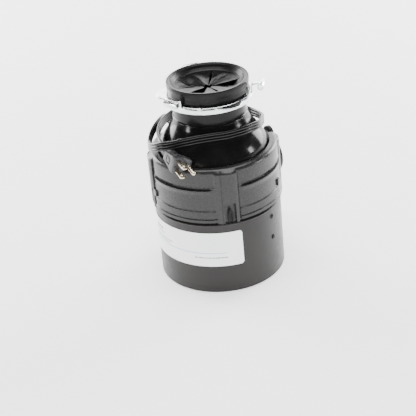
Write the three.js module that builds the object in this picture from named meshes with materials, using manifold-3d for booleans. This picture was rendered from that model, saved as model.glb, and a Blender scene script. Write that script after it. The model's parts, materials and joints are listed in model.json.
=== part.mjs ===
// Kitchen garbage disposal: a continuous-feed grinder that hangs under a sink.
// Millimetres, +Z up. The motor axis is vertical; the unit stands on its bottom rim at z = 0.
// Azimuths are degrees round that axis: 0 is the front (-Y), 90 the right (+X), 180 the back.
import * as THREE from 'three';
import { mergeVertices } from 'three/addons/utils/BufferGeometryUtils.js';
import Module from 'manifold-3d';

const wasm = await Module();
wasm.setup();

// ---- driving dimensions -------------------------------------------------------------------
const GAP = 0.3; // clearance between neighbouring pieces
const ROUND = 36; // facets round a large shell
const FINE = 18; // facets round a small turned piece

const SHELL = { r: 79.8, wall: 1.3, top: 98.2, rim: 70 }; // painted steel motor shell
const TRIM = { r: 81, wall: 3, bottom: 98.8, top: 171, lip: 70 }; // moulded trim shell
const TRIM_GROOVE = { z: 146, depth: 2.2, half: 3 };
const BOSS = { azimuth: 9, r: 83.5, half: 11, facet: 8, pocketHalf: 7, pocketTop: 126 };
const NECK = { r: 45.2, bore: 43, lipR: 47.6, lipTop: 241.2 };
const GRIND = { bore: 67.2, wall: 70, floor: 151.8, flangeR: 77 };
const COLLAR = { r: 50.5, top: 258, mouth: 43.5, skirt: 240.9 };
const FLAPS = { count: 5, azimuth: 95, inner: 8, outer: 38 };
const RING = { inner: 46, outer: 55, top: 238, rim: 240.4, foot: 232.6 };
const EARS = [-95, 25, 145]; // azimuths of the three mounting ears
const PORT = { azimuth: 120, z: 129, bore: 17.5, tube: 21, face: 86, plate: 4 };
const PORT_BOLT = { spacing: 57, hole: 3, ear: 9 };
const INLET = { azimuth: 180, z: 180.2, bore: 6, tube: 8.2, end: 84 };
const SHAFT = { r: 6, bore: 6.3, bottom: 5, neck: 143.5, tip: 160, tipR: 4, hex: 6.35, hexDepth: 12 };
const BUSH_R = 9.2;
const HUB_BORE = 9.5;
const TURNTABLE = { r: 59, z: 152, plate: 2.4 };
const LUG = { pivot: 42, reach: 17, tail: 9, half: 7, height: 7, hole: 3.1 };
const CORE = { bottom: 36, top: 66, outer: 78.1, airGap: 33.8, rotor: 33 };
const BOLT = { r: 73.6, shank: 1.9, head: 3.1 };
const BASE = { plateZ: 9, plate: 3, r: 78.1, boss: 14, bossTop: 22 };
const BUTTON = { azimuth: 60, at: 48, r: 4, bottom: 5.5 };
const LABEL = { from: -95, to: 18, low: 39, high: 86, gap: 0.3, thick: 0.4 };
const SCREW_AZIMUTH = 54;
const SCREW_HEIGHTS = [84, 55];
const CORD = { width: 11, thick: 4, exitAzimuth: 150, exitZ: 28 };
const RELIEF = { root: 77, collar: 80.8, shoulder: 83, tip: 104 };

// The plug lies at the front left: its prongs point along a, the two blades are stacked
// along e, and the earth pin is offset along w from the middle of the blades.
const PLUG = {
  at: [-44.4, -77, 181],
  a: [0.403, -0.885, -0.234],
  w: [0.87, 0.45, -0.203],
  depth: 26,
  bladeLength: 16.5,
  bladeSpacing: 12.7,
  bladeWidth: 6.35,
  bladeThick: 1.5,
  pinOffset: 11.9,
  pinLength: 20.5,
  pinR: 2.4,
};

// Middle line of the free cord, from the strain relief to the plug, chosen by hand.
const ROUTE = [
  [52.2, 90.4, 28], [57, 98.7, 27.5], [62, 109.5, 24], [64, 122, 18], [61, 134, 12],
  [52.5, 143.5, 8], [39.5, 149, 6.6], [24.5, 149.5, 7.6], [10.5, 145, 13], [-1, 137, 23],
  [-9.5, 127, 37], [-15, 117, 53], [-19, 108, 70.5], [-23, 100, 89], [-28, 92.7, 108],
  [-34, 86.3, 128], [-40.8, 79.5, 148], [-47.5, 71.7, 166], [-53, 62, 179.5],
  [-57.5, 50.5, 187.5], [-61.5, 38.5, 190.8], [-67, 25, 190.8], [-72.5, 11, 189], [-76.3, -3, 185.8],
  [-78, -17, 183.5], [-76.5, -32, 187.5], [-71.5, -46, 193.5], [-62.5, -56.5, 198.3],
  [-49.5, -61, 201], [-34, -61, 203.3], [-17, -59.5, 204.6], [0, -58.5, 205.3], [16, -56.5, 205.3],
  [31, -50.5, 205], [44.5, -41.5, 204], [55.5, -29.5, 202.6], [62, -14.5, 200.6], [63.7, 1.5, 197.6],
  [61.5, 16.5, 194], [57, 30, 191.2], [49, 43, 190.2], [35.5, 54.5, 191.2], [18, 62.5, 193.6],
  [1, 65.3, 195.2], [-15.5, 63.5, 195.4], [-31, 57, 195.4], [-44.5, 47, 195.3], [-54.5, 33, 195],
  [-61.5, 18, 194], [-65, 3, 193], [-66.2, -11, 192.2], [-65.3, -23, 191.6], [-62.8, -34.5, 190.8],
  [-59.2, -44.5, 189.4], [-55.3, -53.2, 187.3],
];

// ---- helpers ------------------------------------------------------------------------------
const radians = (degrees) => (degrees * Math.PI) / 180;

function asManifold(geometry) {
  const bare = geometry.index ? geometry.toNonIndexed() : geometry.clone();
  for (const name of Object.keys(bare.attributes)) {
    if (name !== 'position') bare.deleteAttribute(name);
  }
  const merged = mergeVertices(bare, 1e-4);
  const triangles = [];
  const index = merged.index.array;
  for (let i = 0; i < index.length; i += 3) {
    const [a, b, c] = [index[i], index[i + 1], index[i + 2]];
    if (a !== b && b !== c && c !== a) triangles.push(a, b, c);
  }
  const make = (triVerts) => new wasm.Manifold(new wasm.Mesh({
    numProp: 3,
    vertProperties: new Float32Array(merged.attributes.position.array),
    triVerts: new Uint32Array(triVerts),
  }));
  const solid = make(triangles);
  if (solid.volume() > 0) return solid;
  const turned = [];
  for (let i = 0; i < triangles.length; i += 3) {
    turned.push(triangles[i], triangles[i + 2], triangles[i + 1]);
  }
  return make(turned);
}

function fromManifold(solid) {
  const mesh = solid.getMesh();
  const geometry = new THREE.BufferGeometry();
  geometry.setAttribute('position', new THREE.BufferAttribute(mesh.vertProperties, 3));
  geometry.setIndex(new THREE.BufferAttribute(mesh.triVerts, 1));
  return geometry;
}

const tidy = (geometry) => fromManifold(asManifold(geometry));

const combine = (method, first, others) => fromManifold(
  others.reduce((solid, next) => solid[method](asManifold(next)), asManifold(first)),
);
const cut = (first, ...others) => combine('subtract', first, others);
const join = (first, ...others) => combine('add', first, others);

// A turned piece: [radius, height] points of a profile that closes on itself or on the axis.
function turned(profile, facets = ROUND) {
  const points = profile.map(([r, z]) => new THREE.Vector2(r, z));
  const onAxis = profile[0][0] === 0 && profile[profile.length - 1][0] === 0;
  if (!onAxis) points.push(points[0].clone());
  return new THREE.LatheGeometry(points, facets).rotateX(Math.PI / 2);
}

const tube = (inner, outer, low, high, facets = ROUND) => turned(
  [[inner, low], [outer, low], [outer, high], [inner, high]], facets,
);

const disc = (r, low, high, facets = FINE) => turned([[0, low], [r, low], [r, high], [0, high]], facets);

// Turns a geometry so that its local +X points at an azimuth.
const towards = (azimuth, geometry) => geometry.rotateZ(radians(azimuth - 90));

// A block at an azimuth: radial range, half width across, height range.
function blockAt(azimuth, [near, far], half, [low, high]) {
  const block = new THREE.BoxGeometry(far - near, 2 * half, high - low);
  block.translate((near + far) / 2, 0, (low + high) / 2);
  return towards(azimuth, block);
}

// A round bar that lies along the radius at an azimuth.
function barAt(azimuth, [near, far], r, z, facets = FINE) {
  const bar = new THREE.CylinderGeometry(r, r, far - near, facets).rotateZ(Math.PI / 2);
  bar.translate((near + far) / 2, 0, z);
  return towards(azimuth, bar);
}

function extruded(shape, depth, curveSegments = 8) {
  return new THREE.ExtrudeGeometry(shape, { depth, bevelEnabled: false, curveSegments });
}

// A closed body through rings of points, each ring with the same number of points.
function lofted(rings) {
  const count = rings[0].length;
  const last = (rings.length - 1) * count;
  const index = [];
  for (let ring = 0; ring < rings.length - 1; ring += 1) {
    for (let i = 0; i < count; i += 1) {
      const a = ring * count + i;
      const b = ring * count + ((i + 1) % count);
      index.push(a, b, b + count, a, b + count, a + count);
    }
  }
  for (let i = 1; i < count - 1; i += 1) {
    index.push(0, i + 1, i, last, last + i, last + i + 1);
  }
  const geometry = new THREE.BufferGeometry();
  geometry.setAttribute('position', new THREE.Float32BufferAttribute(rings.flat(2), 3));
  geometry.setIndex(index);
  return geometry;
}

// ---- sink end: rubber collar and mounting ring ----------------------------------------------
function mountingGasket() {
  const { r, top, mouth, skirt } = COLLAR;
  const seat = NECK.lipTop + GAP;
  const collar = turned([
    [NECK.lipR + GAP, skirt], [r - 1.6, skirt], [r - 0.4, skirt + 2], [r, top - 3.5], [r, top - 1.2],
    [r - 1.2, top], [mouth + 3.4, top], [mouth + 1.6, top - 1.4], [mouth - 2.4, top - 5.8],
    [39.5, top - 7.6], [FLAPS.inner, 246], [FLAPS.inner, 244.2], [39.5, top - 10], [42.6, seat + 4],
    [42.6, seat], [NECK.lipR + GAP, seat],
  ]);
  const gaps = [];
  for (let i = 0; i < FLAPS.count; i += 1) {
    const wedge = new THREE.Shape();
    wedge.moveTo(FLAPS.inner - 4, -4.5);
    wedge.lineTo(FLAPS.outer, -1);
    wedge.lineTo(FLAPS.outer, 1);
    wedge.lineTo(FLAPS.inner - 4, 4.5);
    wedge.closePath();
    const slot = extruded(wedge, 16).translate(0, 0, 240);
    gaps.push(towards(FLAPS.azimuth + (i * 360) / FLAPS.count, slot));
  }
  return cut(collar, ...gaps);
}

// A rounded flange lobe with, beside it, a strap that folds over into a rolled wrench sleeve.
function ringEar(azimuth) {
  const { outer, rim } = RING;
  const lobe = cut(disc(19.5, rim - 2, rim, 40).translate(45, 0, 0), disc(outer - 1.6, rim - 3, rim + 1, ROUND));
  const strap = blockAt(90, [outer - 1.8, outer], 4.5, [rim - 1, 250]);
  const bridge = blockAt(90, [outer - 1, 64], 4.5, [248.2, 250]);
  const sleeve = tube(2.4, 4.2, -10, 10, 16).rotateX(Math.PI / 2).translate(66, 0, 248.3);
  return [towards(azimuth, lobe), ...[strap, bridge, sleeve].map((piece) => towards(azimuth + 52, piece))];
}

function mountingRing() {
  const { inner, outer, top, rim, foot } = RING;
  const band = turned([
    [inner, top - 1.4], [50.4, top - 1.4], [51.6, rim - 1.5], [outer - 2.2, rim - 1.5], [outer - 1.4, rim - 2.4],
    [outer - 1.4, foot], [outer, foot], [outer, rim - 0.9], [outer - 0.9, rim], [51, rim], [49.6, top], [inner, top],
  ]);
  return join(band, ...EARS.flatMap(ringEar));
}

// ---- grind chamber --------------------------------------------------------------------------
function containerBody() {
  const wall = 2.4;
  const flare = [[68, 171], [66.5, 176], [63.5, 182], [59.5, 188], [55, 194], [51, 200], [47.6, 206], [45.8, 211]];
  const inside = flare.map(([r, z]) => [r - wall, z - 1]).reverse();
  const body = turned([
    [GRIND.bore, GRIND.floor], [GRIND.flangeR, GRIND.floor], [GRIND.flangeR, GRIND.floor + 2],
    [GRIND.wall, GRIND.floor + 2], [GRIND.wall, 166], ...flare,
    [NECK.r + 0.9, 212.5], [NECK.r, 214], [NECK.r, NECK.lipTop - 2.9], [NECK.lipR, NECK.lipTop - 2.5],
    [NECK.lipR, NECK.lipTop], [NECK.bore, NECK.lipTop], ...inside, [GRIND.bore, 166],
  ]);
  const nipple = barAt(INLET.azimuth, [60, INLET.end], INLET.tube, INLET.z, 20);
  const passage = barAt(INLET.azimuth, [50, INLET.end + 1], INLET.bore, INLET.z, 20);
  return cut(join(body, nipple), passage, ...boltHoles(GRIND.floor - 1, GRIND.floor + 3));
}

const bossAzimuth = (i) => BOSS.azimuth + 90 * i;

function boltHoles(low, high) {
  return [0, 1, 2, 3].map((i) => towards(
    bossAzimuth(i), disc(BOLT.shank + GAP, low, high, 12).translate(BOLT.r, 0, 0),
  ));
}

function clampBolt(i) {
  const head = GRIND.floor + 2 + GAP;
  const bolt = turned([
    [0, 142], [BOLT.shank, 142], [BOLT.shank, head], [BOLT.head, head], [BOLT.head, head + 3], [0, head + 3],
  ], 12);
  return towards(bossAzimuth(i), bolt.translate(BOLT.r, 0, 0));
}

function shredderRing() {
  const ring = tube(60.5, 66.4, 151.2, 165);
  const slots = [];
  const count = 12;
  for (let i = 0; i < count; i += 1) {
    slots.push(blockAt((i * 360) / count, [59, 68], 2.6, [150, 160]));
  }
  return cut(ring, ...slots);
}

function upperEndBell() {
  const bowl = turned([
    [HUB_BORE, 88], [15, 88], [18, 93], [BASE.r - 0.6, 93], [BASE.r - 0.6, 98], [77, 99], [72.5, 103],
    [72.5, 146], [77, 148.4], [77, 150.6], [67, 150.6], [67, 114], [62, 108], [20, 104], [14, 108],
    [14, 140], [HUB_BORE, 140],
  ]);
  const { azimuth, z, face, plate } = PORT;
  const half = PORT_BOLT.spacing / 2;
  const outline = new THREE.Shape();
  outline.absarc(0, half, PORT_BOLT.ear, 0.35, Math.PI - 0.35, false);
  outline.absarc(0, 0, PORT.tube + 5, Math.PI - 0.75, Math.PI + 0.75, false);
  outline.absarc(0, -half, PORT_BOLT.ear, Math.PI + 0.35, 2 * Math.PI - 0.35, false);
  outline.absarc(0, 0, PORT.tube + 5, -0.75, 0.75, false);
  outline.closePath();
  const flange = extruded(outline, plate, 10).rotateY(Math.PI / 2).rotateX(Math.PI / 2);
  towards(azimuth, flange.translate(face - plate, 0, z));
  const spout = barAt(azimuth, [69, face - 1], PORT.tube, z, 24);
  const bore = barAt(azimuth, [60, face + 1], PORT.bore, z, 24);
  const holes = [-half, half].map((dz) => barAt(azimuth, [face - 8, face + 1], PORT_BOLT.hole, z + dz, 12));
  return cut(join(bowl, spout, flange), bore, ...holes, ...boltHoles(141, 152));
}

// ---- rotating parts -------------------------------------------------------------------------
function motorShaft() {
  const rod = turned([
    [0, SHAFT.bottom], [SHAFT.r, SHAFT.bottom], [SHAFT.r, SHAFT.neck], [SHAFT.tipR, SHAFT.neck],
    [SHAFT.tipR, SHAFT.tip], [0, SHAFT.tip],
  ], FINE);
  const socket = disc(SHAFT.hex / Math.sqrt(3), SHAFT.bottom - 1, SHAFT.bottom + SHAFT.hexDepth, 6);
  return cut(rod, socket);
}

function turntablePlate() {
  const { r, z, plate } = TURNTABLE;
  const bore = SHAFT.tipR + GAP;
  const body = turned([
    [bore, 145], [11, 145], [13, z - 2], [18, z], [r, z], [r, z + plate], [14, z + plate], [12, z + plate + 1.2], [bore, z + plate + 1.2],
  ]);
  const holes = [];
  for (let side = 0; side < 2; side += 1) {
    const turn = 180 * side;
    const rivetHole = disc(LUG.hole, z - 1, z + plate + 1, 12).translate(LUG.pivot, 0, 0);
    holes.push(towards(turn, rivetHole));
    for (const offset of [65, 115]) {
      holes.push(towards(turn + offset, disc(3.5, z - 1, z + plate + 1, 12).translate(48, 0, 0)));
    }
  }
  return cut(body, ...holes);
}

const lugFloor = TURNTABLE.z + TURNTABLE.plate + GAP;

function impellerLug(azimuth) {
  const outline = new THREE.Shape();
  outline.absarc(0, 0, LUG.tail, Math.PI / 2, 1.5 * Math.PI, false);
  outline.lineTo(LUG.reach - 5, -LUG.half);
  outline.absarc(LUG.reach - 5, -2, 5, -Math.PI / 2, 0, false);
  outline.lineTo(LUG.reach, 3);
  outline.lineTo(LUG.reach - 4, LUG.half);
  outline.closePath();
  const lever = extruded(outline, LUG.height, 6).rotateZ(Math.PI / 2).translate(LUG.pivot, 0, lugFloor);
  const hole = disc(LUG.hole, lugFloor - 1, lugFloor + LUG.height + 1, 12).translate(LUG.pivot, 0, 0);
  return towards(azimuth, cut(lever, hole));
}

function lugRivet(azimuth) {
  const under = TURNTABLE.z - GAP;
  const over = lugFloor + LUG.height + GAP;
  const shank = LUG.hole - GAP;
  const rivet = turned([
    [0, under - 1.8], [shank + 1.6, under - 1.8], [shank + 1.6, under], [shank, under], [shank, over],
    [shank + 1.8, over], [shank + 1, over + 1.6], [0, over + 1.8],
  ], 12);
  return towards(azimuth, rivet.translate(LUG.pivot, 0, 0));
}

const turntableNut = () => cut(
  disc(7, lugFloor + 1.3, lugFloor + 5, 6), disc(SHAFT.tipR + GAP, 150, 165, 12),
);

// ---- motor ----------------------------------------------------------------------------------
function lowerShell() {
  const { r, wall, top, rim } = SHELL;
  const can = turned([
    [rim, 0], [r - 1, 0], [r - 0.3, 0.3], [r, 1], [r, top - 1.8], [r + 0.6, top - 1.2], [r + 0.6, top - 0.4],
    [r, top], [r - wall, top], [r - wall, wall], [rim, wall],
  ]);
  const slot = blockAt(CORD.exitAzimuth, [70, 90], 4.6, [CORD.exitZ - 8.1, CORD.exitZ + 8.1]);
  const holes = SCREW_HEIGHTS.map((z) => barAt(SCREW_AZIMUTH, [70, 90], 2.1, z, 10));
  return cut(can, slot, ...holes);
}

function shellScrew(z) {
  const out = SHELL.r + GAP;
  const inner = CORE.outer + GAP;
  const screw = turned([
    [0, inner], [1.7, inner], [1.7, out], [3.2, out], [3.2, out + 0.5], [1.8, out + 1.2], [0, out + 1.3],
  ], 12).rotateY(Math.PI / 2);
  return towards(SCREW_AZIMUTH, screw.translate(0, 0, z));
}

function lowerEndFrame() {
  const { plateZ, plate, r, boss, bossTop } = BASE;
  const floor = plateZ + plate;
  const frame = turned([
    [HUB_BORE, plateZ], [boss, plateZ], [r - 5, plateZ], [r - 4, SHELL.wall + GAP], [r, SHELL.wall + GAP],
    [r, 14], [r - 2.5, 14], [r - 4, floor], [boss + 1, floor], [boss, floor + 1], [boss, bossTop],
    [HUB_BORE, bossTop],
  ]);
  const hole = disc(BUTTON.r + 0.4, plateZ - 1, floor + 1, 16).translate(BUTTON.at, 0, 0);
  return cut(frame, towards(BUTTON.azimuth, hole), ...coverHoles(plateZ - 1, floor + 1));
}

const COVER = { azimuth: 150, at: 46, screws: [-22, 22], bottom: 6.8, top: 8.7 };

function coverHoles(low, high) {
  return COVER.screws.map((x) => towards(
    COVER.azimuth, disc(1.9, low, high, 10).translate(COVER.at, x, 0),
  ));
}

function coverPlate() {
  const plate = blockAt(COVER.azimuth, [COVER.at - 15, COVER.at + 15], 28, [COVER.bottom, COVER.top]);
  return cut(plate, ...coverHoles(COVER.bottom - 1, COVER.top + 1));
}

function coverScrew(x) {
  const head = COVER.bottom - GAP;
  const screw = turned([
    [0, head - 1.8], [2.6, head - 1.8], [3.2, head - 1], [3.2, head], [1.6, head], [1.6, 14], [0, 14],
  ], 12);
  return towards(COVER.azimuth, screw.translate(COVER.at, x, 0));
}

const resetButton = () => towards(BUTTON.azimuth, turned([
  [0, BUTTON.bottom], [BUTTON.r - 0.6, BUTTON.bottom], [BUTTON.r, BUTTON.bottom + 0.6],
  [BUTTON.r, 16], [0, 16],
], 16).translate(BUTTON.at, 0, 0));

function ratingLabel() {
  const inner = SHELL.r + LABEL.gap;
  const outer = inner + LABEL.thick;
  const [from, to] = [radians(LABEL.from - 90), radians(LABEL.to - 90)];
  const sector = new THREE.Shape();
  sector.absarc(0, 0, outer, from, to, false);
  sector.absarc(0, 0, inner, to, from, true);
  sector.closePath();
  return extruded(sector, LABEL.high - LABEL.low, 30).translate(0, 0, LABEL.low);
}

// ---- trim shell -----------------------------------------------------------------------------
function trimBoss(i) {
  const { r, half, facet } = BOSS;
  const seat = TRIM.r - TRIM.wall + 0.4;
  const outline = new THREE.Shape();
  outline.moveTo(seat, -half - facet);
  outline.lineTo(r, -half);
  outline.lineTo(r, half);
  outline.lineTo(seat, half + 2);
  outline.closePath();
  return towards(bossAzimuth(i), extruded(outline, TRIM.top - TRIM.bottom - 5).translate(0, 0, TRIM.bottom));
}

function trimShell() {
  const { r, wall, bottom, top, lip } = TRIM;
  const inner = r - wall - 0.4;
  const groove = TRIM_GROOVE;
  const skin = turned([
    [inner, bottom], [r - 0.6, bottom], [r + 0.4, bottom + 1.4], [r + 0.2, 112], [r - 0.8, 114.5],
    [r - 0.8, groove.z - groove.half], [r - groove.depth, groove.z - 1], [r - groove.depth, groove.z + 1],
    [r - 1.2, groove.z + groove.half], [r - 1.2, top - 5], [r - 1.8, top - 2.2], [r - 4, top - 0.3],
    [r - 6, top], [lip, top], [lip, top - 1.8], [r - 7, top - 1.8], [inner, top - 6],
  ]);
  const pockets = [0, 1, 2, 3].map((i) => blockAt(
    bossAzimuth(i), [r - 2.4, 90], BOSS.pocketHalf, [bottom - 1, BOSS.pocketTop],
  ));
  const half = PORT.tube + 5 + 1;
  const opening = blockAt(PORT.azimuth, [66, 95], half, [bottom + 2, top + 2]);
  const latch = (azimuth) => blockAt(azimuth, [r - 3, r + 1.4], 4, [118, 126]);
  return cut(join(skin, ...[0, 1, 2, 3].map(trimBoss), latch(-71), latch(70)), ...pockets, opening);
}

// A folded spring clip that stands in the pocket at the foot of each boss.
function bossClip(i) {
  const half = 3.6;
  const gable = new THREE.Shape();
  gable.moveTo(-half, 0);
  gable.lineTo(half, 0);
  gable.lineTo(half, 15);
  gable.lineTo(0, 21);
  gable.lineTo(-half, 15);
  gable.closePath();
  const clip = extruded(gable, 3).rotateX(Math.PI / 2).rotateZ(Math.PI / 2);
  return towards(bossAzimuth(i), clip.translate(TRIM.r - 2.1, 0, TRIM.bottom + 1));
}

// ---- cord and plug --------------------------------------------------------------------------
const vector = (point) => new THREE.Vector3(...point);

// The flat cord is swept with its wide side kept as upright as its direction allows.
function powerCord() {
  const curve = new THREE.CatmullRomCurve3(ROUTE.map(vector), false, 'centripetal');
  curve.arcLengthDivisions = 2000;
  const steps = 76;
  const sides = 8;
  const up = new THREE.Vector3(0, 0, 1);
  const rings = [];
  for (let i = 0; i <= steps; i += 1) {
    const centre = curve.getPointAt(i / steps);
    const along = curve.getTangentAt(i / steps);
    const wide = up.clone().addScaledVector(along, -up.dot(along)).normalize();
    const flat = new THREE.Vector3().crossVectors(along, wide);
    const ring = [];
    for (let side = 0; side < sides; side += 1) {
      const angle = (2 * Math.PI * (side + 0.5)) / sides;
      const reach = 1 / Math.cos(Math.PI / sides);
      const point = centre.clone()
        .addScaledVector(wide, (CORD.width / 2) * Math.cos(angle) * reach)
        .addScaledVector(flat, (CORD.thick / 2) * Math.sin(angle) * reach);
      ring.push(point.toArray());
    }
    rings.push(ring);
  }
  return lofted(rings);
}

function strainRelief() {
  const { root, collar, shoulder, tip } = RELIEF;
  const stations = [[root, 4.2, 7.7], [collar - 0.4, 4.2, 7.7], [collar, 6, 9.5], [shoulder, 6, 9.5],
    [shoulder + 0.5, 4.6, 8], [tip - GAP, 3, 6.4]];
  const rings = stations.map(([x, across, up]) => {
    const ring = [];
    for (let side = 0; side < 8; side += 1) {
      const angle = (2 * Math.PI * (side + 0.5)) / 8;
      const squared = (value) => Math.sign(value) * Math.abs(value) ** 0.6;
      ring.push([x, across * squared(Math.cos(angle)), up * squared(Math.sin(angle)) + CORD.exitZ]);
    }
    return ring;
  });
  return towards(CORD.exitAzimuth, lofted(rings));
}

// Places a plug piece drawn with +Z along the prongs, +X across the blades' width.
function inPlug(geometry) {
  const a = vector(PLUG.a).normalize();
  const w = vector(PLUG.w).addScaledVector(a, -vector(PLUG.w).dot(a)).normalize();
  const e = new THREE.Vector3().crossVectors(a, w);
  const frame = new THREE.Matrix4().makeBasis(w, e, a).setPosition(...PLUG.at);
  return geometry.applyMatrix4(frame);
}

function plugBody() {
  // half heights across the blades, and the two side offsets, at each station along the prongs
  const stations = [[0, 10.5, -6.5, 19], [-7, 10.5, -6.5, 19], [-10, 9.5, -6.4, 15], [-26, 6.5, -6, 6.5]];
  const rings = stations.map(([z, high, left, right]) => [
    [left, -high + 1.5, z], [left + 1.5, -high, z], [left + (right - left) * 0.5, -high, z],
    [right - 1, -high * 0.42, z], [right, 0, z], [right - 1, high * 0.42, z],
    [left + (right - left) * 0.5, high, z], [left + 1.5, high, z], [left, high - 1.5, z],
  ]);
  return inPlug(lofted(rings));
}

function plugBlade(side) {
  const { bladeLength, bladeSpacing, bladeWidth, bladeThick } = PLUG;
  const blade = new THREE.BoxGeometry(bladeWidth, bladeThick, bladeLength);
  const hole = new THREE.CylinderGeometry(1.55, 1.55, 4, 12).translate(0, 0, bladeLength / 2 - 4.5);
  const y = (side * bladeSpacing) / 2;
  return inPlug(cut(blade, hole).translate(0, y, bladeLength / 2 + GAP));
}

function groundPin() {
  const { pinOffset, pinLength, pinR } = PLUG;
  const pin = turned([
    [0, GAP], [pinR, GAP], [pinR, pinLength - 2], [pinR * 0.6, pinLength - 0.4], [0, pinLength],
  ], 12);
  return inPlug(pin.translate(pinOffset, 0, 0));
}

// ---- materials ------------------------------------------------------------------------------
const finish = (color, roughness, metalness = 0) => () => new THREE.MeshStandardMaterial(
  { color, roughness, metalness },
);
const RUBBER = finish(0x17171a, 0.55);
const ZINC = finish(0xd4d8da, 0.28, 0.95);
const GLOSS_BLACK = finish(0x0d0d0e, 0.16);
const SATIN_BLACK = finish(0x262628, 0.38);
const PAINT = finish(0x3a3836, 0.36);
const WHITE = finish(0xf2f3f4, 0.45);
const STEEL = finish(0xa8acb0, 0.32, 1);
const CAST = finish(0x8d9094, 0.5, 0.9);
const COPPER = finish(0xb5682f, 0.35, 1);
const BRASS = finish(0xc9a54a, 0.3, 1);
const RED = finish(0xb3161a, 0.35);
const FOAM = finish(0x2c2c2e, 0.9);
const CORD_BLACK = finish(0x121214, 0.3);
const NICKEL = finish(0xd9c9a6, 0.22, 1);

// ---- assembly -------------------------------------------------------------------------------
const assembly = new THREE.Group();

function add(name, geometry, material) {
  const mesh = new THREE.Mesh(tidy(geometry), material());
  mesh.name = name;
  assembly.add(mesh);
}

add('mounting_gasket', mountingGasket(), RUBBER);
add('lower_mounting_ring', mountingRing(), ZINC);
add('container_body', containerBody(), GLOSS_BLACK);
add('inlet_knockout_plug', barAt(INLET.azimuth, [66, 69], INLET.bore - GAP, INLET.z, 16), SATIN_BLACK);
add('container_gasket', tube(67.6, 71.3, GRIND.floor - 0.9, GRIND.floor - GAP), RUBBER);
add('insulation_jacket', tube(70.5, 77, 159, 164.4), FOAM);
add('trim_shell', trimShell(), SATIN_BLACK);
for (let i = 0; i < 4; i += 1) add(`boss_clip_${i + 1}`, bossClip(i), SATIN_BLACK);
for (let i = 0; i < 4; i += 1) add(`clamp_bolt_${i + 1}`, clampBolt(i), ZINC);
add('stationary_shredder', shredderRing(), STEEL);
add('upper_end_bell', upperEndBell(), SATIN_BLACK);

add('motor_shaft', motorShaft(), STEEL);
add('turntable', turntablePlate(), STEEL);
add('turntable_nut', turntableNut(), STEEL);
['a', 'b'].forEach((side, i) => {
  add(`impeller_lug_${side}`, impellerLug(180 * i), STEEL);
  add(`lug_rivet_${side}`, lugRivet(180 * i), STEEL);
});
add('water_slinger', tube(SHAFT.bore, 14, 141, 142.6, FINE), RUBBER);
add('rotor_core', tube(SHAFT.bore, CORE.rotor, CORE.bottom, CORE.top), CAST);
add('rotor_end_ring_upper', tube(21, 31, CORE.top + GAP, 71, FINE), CAST);
add('rotor_end_ring_lower', tube(21, 31, 31, CORE.bottom - GAP, FINE), CAST);

add('shaft_seal', tube(SHAFT.bore, BUSH_R, 126, 139, FINE), RUBBER);
add('upper_bearing_bush', tube(SHAFT.bore, BUSH_R, 90, 118, FINE), BRASS);
add('lower_bearing_bush', tube(SHAFT.bore, BUSH_R, 10, 21.6, FINE), BRASS);
add('thrust_washer', tube(SHAFT.bore, 12, BASE.bossTop + GAP, BASE.bossTop + 1.8, FINE), STEEL);
add('stator_core', tube(CORE.airGap, CORE.outer, CORE.bottom, CORE.top), CAST);
add('upper_winding', turned([
  [38, CORE.top + GAP], [62, CORE.top + GAP], [63, 72], [57, 80], [43, 80], [37, 72],
], 36), COPPER);
add('lower_winding', turned([
  [38, CORE.bottom - GAP], [62, CORE.bottom - GAP], [63, 30], [57, 23], [43, 23], [37, 30],
], 36), COPPER);

add('lower_shell', lowerShell(), PAINT);
SCREW_HEIGHTS.forEach((z, i) => add(`shell_screw_${i + 1}`, shellScrew(z), PAINT));
add('rating_label', ratingLabel(), WHITE);
add('lower_end_frame', lowerEndFrame(), CAST);
add('terminal_cover_plate', coverPlate(), ZINC);
COVER.screws.forEach((x, i) => add(`cover_screw_${i + 1}`, coverScrew(x), ZINC));
add('overload_protector', blockAt(BUTTON.azimuth, [BUTTON.at - 8, BUTTON.at + 10], 8, [16.5, 22]), RED);
add('reset_button', resetButton(), RED);
add('start_relay', blockAt(230, [63.5, 73.5], 11, [12.6, 32]), SATIN_BLACK);

add('strain_relief', strainRelief(), CORD_BLACK);
add('power_cord', powerCord(), CORD_BLACK);
add('plug_body', plugBody(), CORD_BLACK);
add('plug_blade_hot', plugBlade(-1), NICKEL);
add('plug_blade_neutral', plugBlade(1), NICKEL);
add('plug_ground_pin', groundPin(), NICKEL);

// The origin is the middle of the base: the assembly is centred on its extent without the cord.
const OFF_CORD = ['strain_relief', 'power_cord', 'plug_body', 'plug_blade_hot', 'plug_blade_neutral',
  'plug_ground_pin'];
const extent = new THREE.Box3();
for (const mesh of assembly.children) {
  if (!OFF_CORD.includes(mesh.name)) extent.expandByObject(mesh);
}
const middle = extent.getCenter(new THREE.Vector3());
const AXIS = [-Math.round(middle.x * 2) / 2, -Math.round(middle.y * 2) / 2, 0];
assembly.position.set(...AXIS);

const disposal = new THREE.Group();
disposal.add(assembly);
export default disposal;
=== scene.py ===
"""Looks of the kitchen garbage disposal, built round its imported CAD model."""
import json
import math
import random

import bmesh
import bpy
from mathutils import Matrix, Vector

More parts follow.
